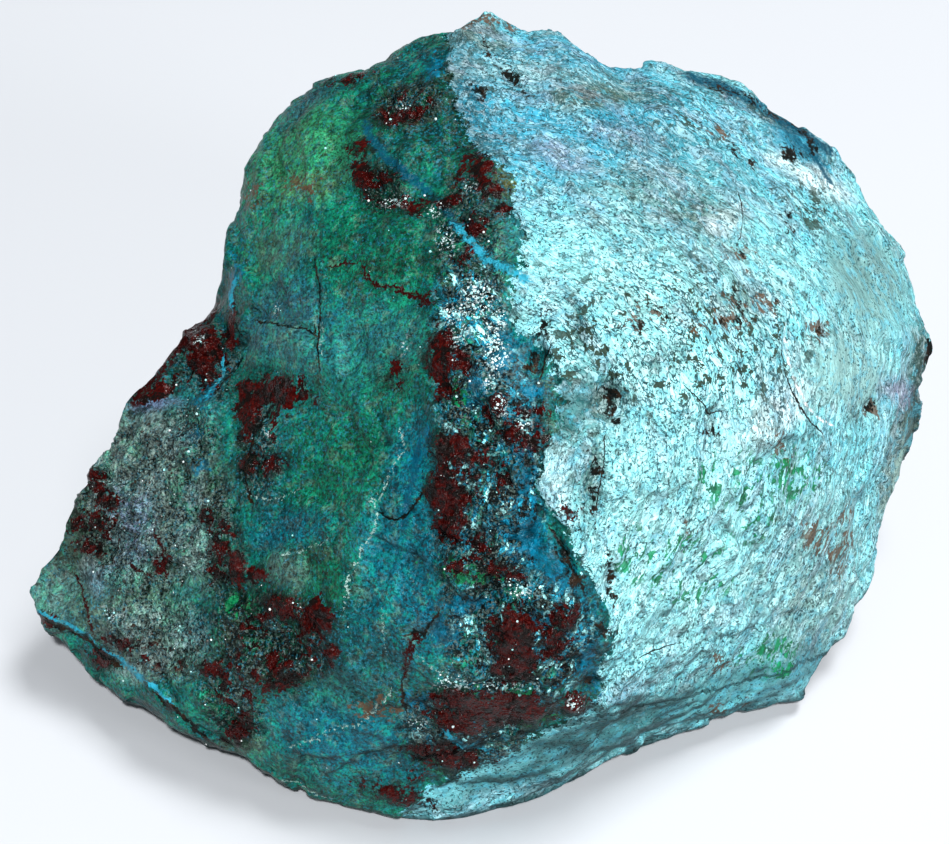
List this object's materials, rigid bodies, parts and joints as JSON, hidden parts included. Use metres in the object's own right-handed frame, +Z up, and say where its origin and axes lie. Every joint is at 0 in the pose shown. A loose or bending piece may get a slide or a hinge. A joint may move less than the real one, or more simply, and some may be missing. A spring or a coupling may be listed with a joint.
{
  "type": "chrysocolla specimen",
  "caption": "Rough natural stone of turquoise and green chrysocolla with dark red patches, rounded on one side and broken on the other, resting on a flat underside.",
  "frame": {"origin": "centre of the box's underside, on the surface that the stone rests on", "axes": "+Z up, +X along the longest side from the pointed tip to the rounded dome, -Y towards the broken front"},
  "size_m": [0.122, 0.0894, 0.0711],
  "materials": {
    "stone": "rough turquoise crust, smooth dark green fracture faces, glossy dark red grains and fine sparkling crystals"
  },
  "bodies": {
    "root": {"chrysocolla_stone": "stone"}
  },
  "joints": []
}
